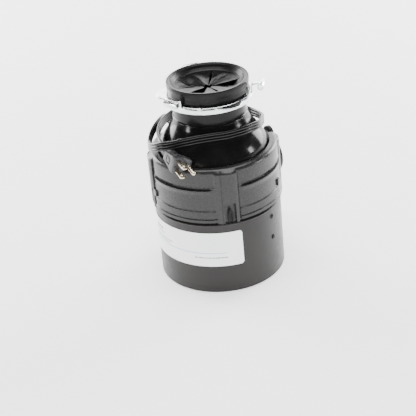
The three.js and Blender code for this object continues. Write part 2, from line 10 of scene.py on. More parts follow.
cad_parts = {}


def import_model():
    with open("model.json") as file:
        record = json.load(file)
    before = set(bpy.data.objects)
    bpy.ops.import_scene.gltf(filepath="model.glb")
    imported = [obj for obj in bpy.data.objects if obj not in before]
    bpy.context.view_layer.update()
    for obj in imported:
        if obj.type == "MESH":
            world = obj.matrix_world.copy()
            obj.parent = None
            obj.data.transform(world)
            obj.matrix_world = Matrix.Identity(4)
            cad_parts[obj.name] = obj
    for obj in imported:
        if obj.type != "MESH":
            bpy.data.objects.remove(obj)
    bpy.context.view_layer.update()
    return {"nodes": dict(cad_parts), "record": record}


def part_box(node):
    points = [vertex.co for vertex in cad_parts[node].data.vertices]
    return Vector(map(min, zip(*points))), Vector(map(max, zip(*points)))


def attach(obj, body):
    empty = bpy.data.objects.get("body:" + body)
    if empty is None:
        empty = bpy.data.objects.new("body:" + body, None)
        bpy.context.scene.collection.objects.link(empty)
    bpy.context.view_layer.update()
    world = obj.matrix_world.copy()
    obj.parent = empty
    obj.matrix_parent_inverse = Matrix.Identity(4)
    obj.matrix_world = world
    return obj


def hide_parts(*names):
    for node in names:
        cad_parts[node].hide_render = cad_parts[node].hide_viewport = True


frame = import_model()

# ---- driving values: millimetres and degrees, about the motor axis -------------------------
MM = 0.001
shell_low, shell_high = (Vector(corner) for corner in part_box("lower_shell"))
AXIS = Vector(((shell_low.x + shell_high.x) / 2, (shell_low.y + shell_high.y) / 2, 0))

ROUND = 192  # facets round a large shell
SHELL_R = 79.8
SHELL_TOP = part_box("lower_shell")[1][2] / MM
TRIM_LOW, TRIM_TOP = (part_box("trim_shell")[i][2] / MM for i in (0, 1))
TRIM_R = 81.0
BOSS_AZIMUTH = 9
BOSS_R = 83.4
COLLAR_TOP = 258
PORT_AZIMUTH = 120
PORT_Z = 129
PORT_FACE = 86
CORD_WIDTH = 11
CORD_THICK = 4
CORD_EXIT_AZIMUTH = 150
CORD_EXIT_Z = 28
LABEL_FROM, LABEL_TO = -95, 18
LABEL_LOW, LABEL_HIGH = 39, 86

# Middle line of the free cord, from the strain relief to the plug: the CAD route, with two points of
# the rear loop 0.2 and 0.3 mm further in.
ROUTE = [
    (52.2, 90.4, 28), (57, 98.7, 27.5), (62, 109.5, 24), (64, 122, 18), (61, 134, 12),
    (52.5, 143.5, 8), (39.5, 148.8, 6.6), (24.5, 149.2, 7.6), (10.5, 145, 13), (-1, 137, 23),
    (-9.5, 127, 37), (-15, 117, 53), (-19, 108, 70.5), (-23, 100, 89), (-28, 92.7, 108),
    (-34, 86.3, 128), (-40.8, 79.5, 148), (-47.5, 71.7, 166), (-53, 62, 179.5),
    (-57.5, 50.5, 187.5), (-61.5, 38.5, 190.8), (-67, 25, 190.8), (-72.5, 11, 189), (-76.3, -3, 185.8),
    (-78, -17, 183.5), (-76.5, -32, 187.5), (-71.5, -46, 193.5), (-62.5, -56.5, 198.3),
    (-49.5, -61, 201), (-34, -61, 203.3), (-17, -59.5, 204.6), (0, -58.5, 205.3), (16, -56.5, 205.3),
    (31, -50.5, 205), (44.5, -41.5, 204), (55.5, -29.5, 202.6), (62, -14.5, 200.6), (63.7, 1.5, 197.6),
    (61.5, 16.5, 194), (57, 30, 191.2), (49, 43, 190.2), (35.5, 54.5, 191.2), (18, 62.5, 193.6),
    (1, 65.3, 195.2), (-15.5, 63.5, 195.4), (-31, 57, 195.4), (-44.5, 47, 195.3), (-54.5, 33, 195),
    (-61.5, 18, 194), (-65, 3, 193), (-66.2, -11, 192.2), (-65.3, -23, 191.6), (-62.8, -34.5, 190.8),
    (-59.2, -44.5, 189.4), (-55.3, -53.2, 187.3),
]
PLUG_AT = (-44.4, -77, 181)
PLUG_ALONG = (0.403, -0.885, -0.234)
PLUG_ACROSS = (0.87, 0.45, -0.203)


# ---- mesh helpers ---------------------------------------------------------------------------
def world(point):
    """A point in millimetres about the motor axis, in metres in the row's frame."""
    return Vector(point) * MM + AXIS


def polar(radius, azimuth, z):
    angle = math.radians(azimuth)
    return (radius * math.sin(angle), -radius * math.cos(angle), z)


def ease(value):
    value = max(0.0, min(1.0, value))
    return value * value * (3 - 2 * value)


def new_object(name, verts, faces, material, smooth=32, in_mm=True):
    mesh = bpy.data.meshes.new(name)
    mesh.from_pydata([world(v) if in_mm else v for v in verts], [], faces)
    work = bmesh.new()
    work.from_mesh(mesh)
    bmesh.ops.remove_doubles(work, verts=work.verts, dist=1e-7)
    bmesh.ops.recalc_face_normals(work, faces=work.faces)
    work.to_mesh(mesh)
    work.free()
    mesh.shade_smooth()
    mesh.set_sharp_from_angle(angle=math.radians(smooth))
    mesh.materials.append(material)
    piece = bpy.data.objects.new(name, mesh)
    bpy.context.scene.collection.objects.link(piece)
    return piece


def filleted(corners, steps=5):
    """Turns (r, z, fillet) corners of a closed outline into points with true arcs."""
    points = []
    count = len(corners)
    for i, (r, z, fillet) in enumerate(corners):
        here = Vector((r, z))
        before = Vector(corners[i - 1][:2]) - here
        after = Vector(corners[(i + 1) % count][:2]) - here
        half = before.angle(after) / 2 if fillet else 0
        if not fillet or half > math.radians(88):
            points.append((r, z))
            continue
        reach = min(fillet / math.tan(half), 0.48 * before.length, 0.48 * after.length)
        radius = reach * math.tan(half)
        middle = here + (before.normalized() + after.normalized()).normalized() * radius / math.sin(half)
        start = here + before.normalized() * reach - middle
        end = here + after.normalized() * reach - middle
        sweep = start.angle_signed(end)
        for step in range(steps + 1):
            spoke = start.copy()
            spoke.rotate(Matrix.Rotation(-sweep * step / steps, 2))
            points.append(tuple(middle + spoke))
    return points


def revolved(name, outline, material, facets=ROUND, smooth=32, place=None):
    """A turned piece from a closed (r, z) outline; place moves a point before it is set down."""
    verts, faces = [], []
    count = len(outline)
    for turn in range(facets):
        angle = 2 * math.pi * turn / facets
        for r, z in outline:
            point = (r * math.cos(angle), r * math.sin(angle), z)
            verts.append(place @ Vector(point) if place else point)
    for turn in range(facets):
        following = (turn + 1) % facets
        for i in range(count):
            j = (i + 1) % count
            faces.append((turn * count + i, following * count + i, following * count + j, turn * count + j))
    return new_object(name, verts, faces, material, smooth)


def loft(rings, name, material, smooth=32):
    """A closed body through rings of points in millimetres."""
    count = len(rings[0])
    verts = [point for ring in rings for point in ring]
    faces = []
    for ring in range(len(rings) - 1):
        for i in range(count):
            j = (i + 1) % count
            a, b = ring * count, (ring + 1) * count
            faces.append((a + i, a + j, b + j, b + i))
    faces.append(tuple(range(count))[::-1])
    faces.append(tuple((len(rings) - 1) * count + i for i in range(count)))
    return new_object(name, verts, faces, material, smooth)


def applied(piece):
    """Applies a piece's modifiers to its mesh."""
    graph = bpy.context.evaluated_depsgraph_get()
    mesh = bpy.data.meshes.new_from_object(piece.evaluated_get(graph))
    piece.modifiers.clear()
    piece.data = mesh
    return piece


def carved(piece, *cutters, operation="DIFFERENCE", smooth=32):
    for cutter in cutters:
        change = piece.modifiers.new("carve", "BOOLEAN")
        change.operation = operation
        change.solver = "EXACT"
        change.object = cutter
        applied(piece)
        bpy.data.objects.remove(cutter)
    piece.data.set_sharp_from_angle(angle=math.radians(smooth))
    return piece


def bevelled(piece, width, segments=3, angle=40):
    change = piece.modifiers.new("bevel", "BEVEL")
    change.width = width * MM
    change.segments = segments
    change.limit_method = "ANGLE"
    change.angle_limit = math.radians(angle)
    applied(piece)
    piece.data.shade_smooth()
    piece.data.set_sharp_from_angle(angle=math.radians(angle))
    return piece


def prism(name, outline, low, high, material, place, smooth=32):
    """An outline in a piece's own XY, extruded along its Z, placed by a matrix in millimetres."""
    rings = [[place @ Vector((x, y, z)) for x, y in outline] for z in (low, high)]
    return loft(rings, name, material, smooth)


def block(name, low, high, material, place):
    (x0, y0, z0), (x1, y1, z1) = low, high
    return prism(name, [(x0, y0), (x1, y0), (x1, y1), (x0, y1)], z0, z1, material, place)


def arc(cx, cy, radius, start, end, steps):
    """Points of an arc, angles in degrees."""
    angles = (math.radians(start + (end - start) * i / steps) for i in range(steps + 1))
    return [(cx + radius * math.cos(a), cy + radius * math.sin(a)) for a in angles]


def towards(azimuth, z=0, radius=0):
    """Own +X points outwards at an azimuth, +Z stays up."""
    turn = Matrix.Rotation(math.radians(azimuth - 90), 4, "Z")
    return turn @ Matrix.Translation((radius, 0, z))


def facing(azimuth, z):
    """Own +Z points outwards at an azimuth, +X runs round the unit, +Y stays up."""
    turn = Matrix(((0, 0, 1, 0), (1, 0, 0, 0), (0, 1, 0, z), (0, 0, 0, 1)))
    return Matrix.Rotation(math.radians(azimuth - 90), 4, "Z") @ turn


def joined(name, parts):
    """Joins pieces into one object with the first one's materials."""
    base = parts[0]
    work = bmesh.new()
    for part in parts:
        work.from_mesh(part.data)
    work.to_mesh(base.data)
    work.free()
    for part in parts[1:]:
        bpy.data.objects.remove(part)
    base.name = name
    return base


def settle(piece, body, slot, *nodes):
    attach(piece, body)
    if nodes:
        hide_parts(*nodes)
    return piece


# ---- materials --------------------------------------------------------------------------------
def material(name, color, roughness, metallic=0.0, coat=0.0, coat_roughness=0.05, specular=0.5):
    """A principled surface with its node tree ready for colour and bump details."""
    made = bpy.data.materials.new(name)
    made.use_nodes = True
    shader = made.node_tree.nodes["Principled BSDF"]
    shader.inputs["Base Color"].default_value = (*color, 1)
    shader.inputs["Roughness"].default_value = roughness
    shader.inputs["Metallic"].default_value = metallic
    shader.inputs["Coat Weight"].default_value = coat
    shader.inputs["Coat Roughness"].default_value = coat_roughness
    shader.inputs["Specular IOR Level"].default_value = specular
    return made


def noise(made, scale, detail=3, stretch=(1, 1, 1)):
    """A noise texture in the piece's own coordinates, which are metres."""
    nodes, links = made.node_tree.nodes, made.node_tree.links
    coordinates = nodes.new("ShaderNodeTexCoord")
    mapping = nodes.new("ShaderNodeMapping")
    mapping.inputs["Scale"].default_value = stretch
    texture = nodes.new("ShaderNodeTexNoise")
    texture.inputs["Scale"].default_value = scale
    texture.inputs["Detail"].default_value = detail
    links.new(coordinates.outputs["Object"], mapping.inputs["Vector"])
    links.new(mapping.outputs["Vector"], texture.inputs["Vector"])
    return texture.outputs["Fac"]


def vary(made, field, socket, low, high):
    """Drives a number socket between two values by a 0..1 field."""
    nodes, links = made.node_tree.nodes, made.node_tree.links
    spread = nodes.new("ShaderNodeMapRange")
    spread.inputs["From Min"].default_value = 0.3
    spread.inputs["From Max"].default_value = 0.7
    spread.inputs["To Min"].default_value = low
    spread.inputs["To Max"].default_value = high
    links.new(field, spread.inputs["Value"])
    links.new(spread.outputs["Result"], nodes["Principled BSDF"].inputs[socket])


def tint(made, field, dark, light):
    """Drives the base colour between two colours by a 0..1 field."""
    nodes, links = made.node_tree.nodes, made.node_tree.links
    ramp = nodes.new("ShaderNodeValToRGB")
    ramp.color_ramp.elements[0].position = 0.35
    ramp.color_ramp.elements[0].color = (*dark, 1)
    ramp.color_ramp.elements[1].position = 0.65
    ramp.color_ramp.elements[1].color = (*light, 1)
    links.new(field, ramp.inputs["Fac"])
    links.new(ramp.outputs["Color"], nodes["Principled BSDF"].inputs["Base Color"])


def bump(made, field, height, strength=0.5):
    nodes, links = made.node_tree.nodes, made.node_tree.links
    relief = nodes.new("ShaderNodeBump")
    relief.inputs["Strength"].default_value = strength
    relief.inputs["Distance"].default_value = height
    links.new(field, relief.inputs["Height"])
    links.new(relief.outputs["Normal"], nodes["Principled BSDF"].inputs["Normal"])


def gloss_moulding():
    made = material("gloss_black_moulding", (0.004, 0.004, 0.004), 0.15, specular=0.18)
    tint(made, noise(made, 40, 4), (0.003, 0.003, 0.003), (0.005, 0.005, 0.005))
    vary(made, noise(made, 90, 4), "Roughness", 0.13, 0.22)
    bump(made, noise(made, 60, 2), 0.00006, 0.25)
    return made


def satin_moulding():
    made = material("satin_dark_moulding", (0.013, 0.0127, 0.0125), 0.32, specular=0.36)
    tint(made, noise(made, 25, 4), (0.012, 0.0117, 0.0115), (0.0145, 0.0142, 0.014))
    vary(made, noise(made, 120, 5), "Roughness", 0.22, 0.32)
    bump(made, noise(made, 900, 2), 0.00002, 0.2)
    return made


def satin_paint():
    made = material("satin_grey_paint", (0.012, 0.0108, 0.0102), 0.32, specular=0.3)
    tint(made, noise(made, 18, 4), (0.0105, 0.0095, 0.009), (0.0135, 0.0122, 0.0115))
    vary(made, noise(made, 140, 4), "Roughness", 0.28, 0.4)
    bump(made, noise(made, 900, 3), 0.00005, 0.22)
    return made


def collar_rubber():
    made = material("collar_rubber", (0.004, 0.004, 0.004), 0.3, specular=0.16)
    tint(made, noise(made, 60, 5), (0.0032, 0.0032, 0.0032), (0.005, 0.005, 0.005))
    vary(made, noise(made, 200, 5), "Roughness", 0.25, 0.37)
    bump(made, noise(made, 1500, 4), 0.00004, 0.35)
    return made


def cord_sheath():
    made = material("cord_sheath", (0.003, 0.003, 0.003), 0.2, specular=0.3)
    tint(made, noise(made, 50, 3), (0.0025, 0.0025, 0.0025), (0.004, 0.004, 0.004))
    vary(made, noise(made, 160, 4), "Roughness", 0.16, 0.26)
    bump(made, noise(made, 300, 3), 0.00002, 0.15)
    return made


def plug_moulding():
    made = material("plug_moulding", (0.02, 0.02, 0.022), 0.3)
    tint(made, noise(made, 80, 3), (0.017, 0.017, 0.018), (0.026, 0.026, 0.028))
    vary(made, noise(made, 300, 4), "Roughness", 0.24, 0.38)
    bump(made, noise(made, 1800, 3), 0.00003, 0.3)
    return made


def zinc_plate():
    made = material("bright_zinc", (0.86, 0.88, 0.89), 0.2, metallic=1.0)
    tint(made, noise(made, 160, 5), (0.74, 0.77, 0.80), (0.92, 0.93, 0.92))
    vary(made, noise(made, 260, 5), "Roughness", 0.14, 0.3)
    bump(made, noise(made, 420, 4), 0.00005, 0.3)
    return made


def turned_steel():
    made = material("stamped_steel", (0.6, 0.61, 0.62), 0.3, metallic=1.0)
    tint(made, noise(made, 500, 4, (1, 1, 0.05)), (0.48, 0.49, 0.5), (0.68, 0.69, 0.7))
    vary(made, noise(made, 800, 4), "Roughness", 0.24, 0.42)
    return made


def cast_alloy():
    made = material("cast_alloy", (0.42, 0.43, 0.44), 0.5, metallic=0.9)
    tint(made, noise(made, 120, 6), (0.34, 0.35, 0.36), (0.5, 0.51, 0.52))
    vary(made, noise(made, 300, 5), "Roughness", 0.42, 0.6)
    bump(made, noise(made, 1100, 5), 0.00012, 0.5)
    return made


def laminated_iron():
    made = material("laminated_iron", (0.2, 0.21, 0.22), 0.45, metallic=0.85)
    tint(made, noise(made, 900, 2, (0.02, 0.02, 2.4)), (0.12, 0.12, 0.13), (0.3, 0.31, 0.32))
    vary(made, noise(made, 300, 3), "Roughness", 0.38, 0.55)
    return made


def copper_wire():
    made = material("enamelled_copper", (0.55, 0.22, 0.08), 0.3, metallic=0.9)
    tint(made, noise(made, 700, 3, (1, 1, 0.2)), (0.4, 0.13, 0.04), (0.68, 0.3, 0.12))
    bump(made, noise(made, 900, 2, (1, 1, 0.15)), 0.0004, 0.6)
    return made


def sintered_bronze():
    made = material("sintered_bronze", (0.6, 0.43, 0.18), 0.42, metallic=1.0)
    tint(made, noise(made, 600, 5), (0.48, 0.33, 0.12), (0.7, 0.52, 0.25))
    return made


def red_moulding():
    made = material("red_moulding", (0.5, 0.02, 0.02), 0.3)
    tint(made, noise(made, 300, 3), (0.42, 0.015, 0.015), (0.56, 0.03, 0.03))
    return made


def closed_foam():
    made = material("closed_foam", (0.03, 0.03, 0.032), 0.9)
    tint(made, noise(made, 900, 4), (0.02, 0.02, 0.021), (0.045, 0.045, 0.047))
    bump(made, noise(made, 1400, 4), 0.0003, 0.8)
    return made


def plated_brass():
    made = material("plated_brass", (0.78, 0.68, 0.5), 0.2, metallic=1.0)
    tint(made, noise(made, 400, 4), (0.66, 0.56, 0.4), (0.86, 0.77, 0.6))
    vary(made, noise(made, 900, 3), "Roughness", 0.14, 0.3)
    return made


def label_film():
    made = material("label_film", (0.9, 0.92, 0.93), 0.3)
    tint(made, noise(made, 30, 3), (0.87, 0.9, 0.92), (0.94, 0.94, 0.94))
    vary(made, noise(made, 90, 3), "Roughness", 0.28, 0.4)
    bump(made, noise(made, 60, 2), 0.00005, 0.3)
    return made


def printed_ink(name, color):
    made = material(name, color, 0.4)
    dark = tuple(value * 0.85 for value in color)
    tint(made, noise(made, 1500, 3), dark, color)
    return made


GLOSS = gloss_moulding()
SATIN = satin_moulding()
PAINT = satin_paint()
RUBBER = collar_rubber()
SHEATH = cord_sheath()
PLUG = plug_moulding()
ZINC = zinc_plate()
STEEL = turned_steel()
ALLOY = cast_alloy()
IRON = laminated_iron()
COPPER = copper_wire()
BRONZE = sintered_bronze()
RED = red_moulding()
FOAM = closed_foam()
NICKEL = plated_brass()
FILM = label_film()
DARK_INK = printed_ink("dark_ink", (0.06, 0.07, 0.09))
BLUE_INK = printed_ink("blue_ink", (0.28, 0.5, 0.72))

# Slots whose CAD nodes keep their own shape.
SLOT_LOOKS = {
    "rubber": RUBBER, "zinc": ZINC, "gloss_black": GLOSS, "satin_black": SATIN, "paint": PAINT,
    "steel": STEEL, "cast": IRON, "alloy": ALLOY, "copper": COPPER, "brass": BRONZE, "red": RED,
    "foam": FOAM, "label": FILM, "cord": SHEATH, "nickel": NICKEL,
}


# ---- camera and lights --------------------------------------------------------------------------
CAMERA_DISTANCE = 1.5
CAMERA_ELEVATION = 28.65
CAMERA_ROLL = -5.47
CAMERA_LENS = 101.4
AIM = (-13.82, 0, 78.7)


def add_camera():
    data = bpy.data.cameras.new("camera")
    data.lens = CAMERA_LENS
    data.sensor_width = 36
    data.clip_start = 0.05
    camera = bpy.data.objects.new("camera", data)
    bpy.context.scene.collection.objects.link(camera)
    tilt = Matrix.Rotation(math.radians(90 - CAMERA_ELEVATION), 4, "X")
    roll = Matrix.Rotation(math.radians(CAMERA_ROLL), 4, "Z")
    back = Matrix.Translation((0, 0, CAMERA_DISTANCE))
    camera.matrix_world = Matrix.Translation(world(AIM)) @ tilt @ roll @ back
    bpy.context.scene.camera = camera


def area_light(name, place, target, size, power):
    data = bpy.data.lights.new(name, "AREA")
    data.shape = "RECTANGLE"
    data.size, data.size_y = size
    data.energy = power
    light = bpy.data.objects.new(name, data)
    bpy.context.scene.collection.objects.link(light)
    aim = Vector(target) - Vector(place)
    light.location = place
    light.rotation_euler = aim.to_track_quat("-Z", "Y").to_euler()
    return light


def add_studio():
    floor = bpy.data.meshes.new("floor")
    half = 6
    corners = [(-half, -half, 0), (half, -half, 0), (half, half, 0), (-half, half, 0)]
    floor.from_pydata(corners, [], [(0, 1, 2, 3)])
    pale = material("pale_floor", (0.93, 0.93, 0.93), 0.8)
    pale.node_tree.nodes["Principled BSDF"].inputs["Emission Color"].default_value = (1, 1, 1, 1)
    pale.node_tree.nodes["Principled BSDF"].inputs["Emission Strength"].default_value = 0.8
    floor.materials.append(pale)
    stage = bpy.data.objects.new("floor", floor)
    bpy.context.scene.collection.objects.link(stage)

    sky = bpy.data.worlds.new("studio")
    sky.use_nodes = True
    sky.node_tree.nodes["Background"].inputs["Color"].default_value = (0.9, 0.93, 1, 1)
    sky.node_tree.nodes["Background"].inputs["Strength"].default_value = 0.1
    bpy.context.scene.world = sky

    area_light("back_bank", (0, 2.6, 0.9), (0, 0, 0.2), (3.4, 1.6), 110)
    area_light("left_bank", (-1.5, 1.35, 0.7), (0, 0, 0.2), (1.0, 1.3), 75)
    area_light("right_bank", (1.5, 1.25, 0.7), (0, 0, 0.2), (1.0, 1.3), 75)
    area_light("top_bank", (0, 0.1, 2.4), (0, 0, 0), (2.4, 1.5), 80)
    area_light("left_strip", (-2.4, -0.75, 0.7), (0, 0, 0.15), (0.4, 0.6), 26)
    area_light("right_strip", (2.4, -0.3, 0.7), (0, 0, 0.15), (0.4, 0.6), 26)
    fill = area_light("front_fill", (0, -2.6, 1.2), (0, 0, 0.1), (3.0, 1.0), 90)
    fill.visible_glossy = False


# ---- cord ---------------------------------------------------------------------------------------
def centripetal(points, per_span):
    """A centripetal Catmull-Rom curve through the points, as (point, tangent) samples."""
    points = [Vector(p) for p in points]
    ends = [2 * points[0] - points[1]] + points + [2 * points[-1] - points[-2]]
    samples = []
    for i in range(1, len(ends) - 2):
        p0, p1, p2, p3 = ends[i - 1:i + 3]
        d0, d1, d2 = ((b - a).length ** 0.5 for a, b in ((p0, p1), (p1, p2), (p2, p3)))
        t1 = ((p1 - p0) / d0 - (p2 - p0) / (d0 + d1) + (p2 - p1) / d1) * d1
        t2 = ((p2 - p1) / d1 - (p3 - p1) / (d1 + d2) + (p3 - p2) / d2) * d1
        steps = per_span if i < len(ends) - 3 else per_span + 1
        for step in range(steps):
            t = step / per_span
            a = 2 * p1 - 2 * p2 + t1 + t2
            b = -3 * p1 + 3 * p2 - 2 * t1 - t2
            tangent = 3 * a * t ** 2 + 2 * b * t + t1
            samples.append((a * t ** 3 + b * t ** 2 + t1 * t + p1, tangent.normalized()))
    return samples


def flat_section():
    """Half widths and thicknesses round a flat three-core sheath: three ridges side by side."""
    lobe = CORD_THICK / 2
    pitch = (CORD_WIDTH - CORD_THICK) / 2
    valley = 0.45
    upper = []
    steps = 48
    for i in range(steps + 1):
        w = CORD_WIDTH / 2 * math.cos(math.pi * i / steps)
        core = max(-1, min(1, round(w / pitch))) * pitch
        height = math.sqrt(max(lobe ** 2 - (w - core) ** 2, 0))
        inside = abs(w) < pitch
        upper.append((w, max(height, lobe * valley) if inside else height))
    lower = [(w, -t) for w, t in reversed(upper[1:-1])]
    return upper + lower


def power_cord():
    path = centripetal(ROUTE, 10)
    section = flat_section()
    rings = []
    for centre, along in path:
        wide = (Vector((0, 0, 1)) - along * along.z).normalized()
        flat = along.cross(wide)
        rings.append([centre + wide * w + flat * t for w, t in section])
    cord = loft(rings, "mains_cord", SHEATH, smooth=50)
    length = sum((b[0] - a[0]).length for a, b in zip(path, path[1:])) * MM
    return cord, length, [world(centre) for centre, _ in path]


# ---- plug -----------------------------------------------------------------------------------------
along_plug = Vector(PLUG_ALONG).normalized()
across_plug = (Vector(PLUG_ACROSS) - along_plug * Vector(PLUG_ACROSS).dot(along_plug)).normalized()
stack_plug = along_plug.cross(across_plug)
PLUG_FRAME = Matrix((
    (across_plug.x, stack_plug.x, along_plug.x, PLUG_AT[0]),
    (across_plug.y, stack_plug.y, along_plug.y, PLUG_AT[1]),
    (across_plug.z, stack_plug.z, along_plug.z, PLUG_AT[2]),
    (0, 0, 0, 1),
))


BLADE_PITCH = 12.7


def plug_ring(z, high, left, right, round_off=1.4):
    """One cross-section: flat towards the left, narrowing to the earth pin's side."""
    corners = [
        (left, -high, round_off), (left + (right - left) * 0.5, -high, 3), (right, -high * 0.42, 2.4),
        (right, high * 0.42, 2.4), (left + (right - left) * 0.5, high, 3), (left, high, round_off),
    ]
    return [PLUG_FRAME @ Vector((x, y, z)) for x, y in filleted(corners, 6)]


def plug_body():
    stations = [
        (-0.02, 9.6, -5.7, 18.1), (-0.5, 10.3, -6.3, 18.8), (-1.2, 10.5, -6.5, 19), (-6.4, 10.5, -6.5, 19),
        (-7.4, 10.2, -6.5, 18.2), (-9, 9.6, -6.4, 15.6), (-12, 9, -6.35, 13.2), (-16, 8.3, -6.3, 11),
        (-20, 7.6, -6.2, 9), (-24.6, 6.9, -6.05, 7), (-25.6, 6.6, -5.8, 6.6), (-26, 6, -5.2, 6),
    ]
    body = loft([plug_ring(*station) for station in stations][::-1], "plug_body_moulding", PLUG, 30)
    panel = block("panel", (-7.5, -4.6, -19), (-5.7, 4.6, -9), PLUG, PLUG_FRAME)
    carved(body, panel)
    badge = bevelled(block("badge", (-6.1, -3.2, -17.4), (-5.6, 3.2, -10.6), PLUG, PLUG_FRAME), 0.2)
    grips = []
    for i in range(4):
        z = -13.5 - 2.6 * i
        for side in (-1, 1):
            reach = 8.75 + (z + 12) * 0.175
            low, high = sorted((side * (reach - 0.6), side * (reach + 0.55)))
            grips.append(bevelled(block(
                "grip", (-3.2, low, z - 0.55), (4.6, high, z + 0.55), PLUG, PLUG_FRAME), 0.25, 2))
    return joined("plug_body_moulding", [body, badge, *grips])


def plug_blade(name, side):
    y = side * BLADE_PITCH / 2
    outline = [(-3.17, 0.3), (3.17, 0.3), (3.17, 14.9), (1.9, 16.5), (-1.9, 16.5), (-3.17, 14.9)]
    stand = PLUG_FRAME @ Matrix(((1, 0, 0, 0), (0, 0, -1, y), (0, 1, 0, 0), (0, 0, 0, 1)))
    blade = prism(name, outline, -0.75, 0.75, NICKEL, stand)
    hole = prism("hole", arc(0, 12, 1.55, 0, 345, 23), -2, 2, NICKEL, stand)
    return bevelled(carved(blade, hole), 0.22, 2)


def ground_pin():
    outline = [(0, 0.3), (2.4, 0.3), (2.4, 18.1)] + arc(0, 18.1, 2.4, 0, 90, 8)[1:]
    place = PLUG_FRAME @ Matrix.Translation((11.9, 0, 0))
    return revolved("plug_ground_pin_turned", outline, NICKEL, 32, place=place)


def strain_relief():
    """A tapered boot with five flex grooves, wider across the cord's width."""
    place = towards(CORD_EXIT_AZIMUTH, CORD_EXIT_Z)
    stations = [
        (77, 4.1, 7.6), (80.4, 4.1, 7.6), (80.8, 5.6, 9.2), (81.4, 6, 9.5), (82.6, 6, 9.5), (83.2, 5.2, 8.6),
    ]
    x = 83.6
    while x < 101.5:
        slim = (x - 83.6) / 18
        across, up = 4.6 - 1.3 * slim, 8 - 1.4 * slim
        stations += [
            (x, across, up), (x + 1.7, across, up), (x + 2, across - 0.9, up - 0.9),
            (x + 3, across - 0.95, up - 0.95), (x + 3.3, across, up),
        ]
        x += 3.6
    stations += [(103.2, 3.1, 6.5), (103.6, 2.7, 6.1)]
    rings = []
    for radius, across, up in stations:
        corner = min(across, up) * 0.85
        outline = filleted([
            (across, -up, corner), (across, up, corner), (-across, up, corner), (-across, -up, corner),
        ], 5)
        rings.append([place @ Vector((radius, a, b)) for a, b in outline])
    return loft(rings, "strain_relief_boot", SHEATH, 40)


# ---- sink end ---------------------------------------------------------------------------------------
FLAP_GAP_AZIMUTH = 98
# How far each flap's two edges hang below it, in millimetres, from the right-hand gap round.
FLAP_DROOPS = [(1.0, 3.0), (2.0, 6.0), (5.5, 0.5), (9.5, 1.0), (0.5, 9.0)]
FLAP_ROOT = COLLAR_TOP - 7.8


def collar():
    top = COLLAR_TOP
    outline = filleted([
        (47.9, 240.9, 0.3), (49.4, 240.9, 0.8), (50.2, 243.4, 2.5), (49.8, 248, 5), (50.5, top - 3.8, 2.5),
        (50.4, top - 0.9, 1.1), (49.6, top, 0.9), (47.4, top - 0.2, 0.9), (46.2, top - 1.3, 0.8),
        (45.2, top - 1.5, 0.9), (43.6, top - 4.2, 2), (41.2, top - 6.4, 1.4), (39.4, top - 7.4, 0.4),
        (39.4, top - 9.8, 0.4), (42.6, top - 12, 1), (42.6, 241.6, 0), (47.9, 241.6, 0),
    ], 6)
    return revolved("collar_ring", outline, RUBBER, ROUND, 40)


def flap(index):
    """One petal of the baffle: it slopes to the centre and its edges hang down."""
    pitch = 360 / len(FLAP_DROOPS)
    start = FLAP_GAP_AZIMUTH + index * pitch
    first, last = FLAP_DROOPS[index]
    rows, columns = 18, 28
    top, bottom = [], []
    for i in range(rows + 1):
        inward = i / rows
        r = 40 - inward * 34.5
        gap = 0.7 + 1.9 * math.sin(math.pi * min(1, inward * 1.05))
        edge = min(math.degrees(gap / 2 / r), pitch * 0.3)
        sag = ease(inward * 2.2) * (1 - 0.35 * inward)
        for j in range(columns + 1):
            share = j / columns
            azimuth = start + edge + (pitch - 2 * edge) * share
            z = FLAP_ROOT - 3.4 * inward ** 0.9
            z -= sag * (first * ease((0.52 - share) / 0.5) + last * ease((share - 0.48) / 0.5))
            z += 0.7 * math.exp(-((share - 0.5) / 0.035) ** 2) * math.sin(math.pi * min(1, inward * 1.2))
            top.append(polar(r, azimuth, z))
            bottom.append(polar(r, azimuth, z - 1.9 + 0.6 * inward))
    width = columns + 1
    offset = len(top)
    faces = []
    for i in range(rows):
        for j in range(columns):
            a = i * width + j
            faces.append((a, a + 1, a + width + 1, a + width))
            faces.append((offset + a, offset + a + width, offset + a + width + 1, offset + a + 1))
    rim = list(range(width)) + [i * width + columns for i in range(1, rows + 1)]
    rim += [rows * width + j for j in range(columns - 1, -1, -1)]
    rim += [i * width for i in range(rows - 1, 0, -1)]
    for a, b in zip(rim, rim[1:] + rim[:1]):
        faces.append((a, offset + a, offset + b, b))
    return new_object("flap", top + bottom, faces, RUBBER, 45)


def mounting_gasket():
    return joined("mounting_collar", [collar(), *(flap(i) for i in range(len(FLAP_DROOPS)))])


RING_RIM = 240.4
RING_FOOT = 232.6
EAR_AZIMUTHS = (-95, 25, 145)
SLEEVE_OFFSET = 52  # degrees from an ear to its rolled sleeve
RING_LUG_AZIMUTH = -13.5


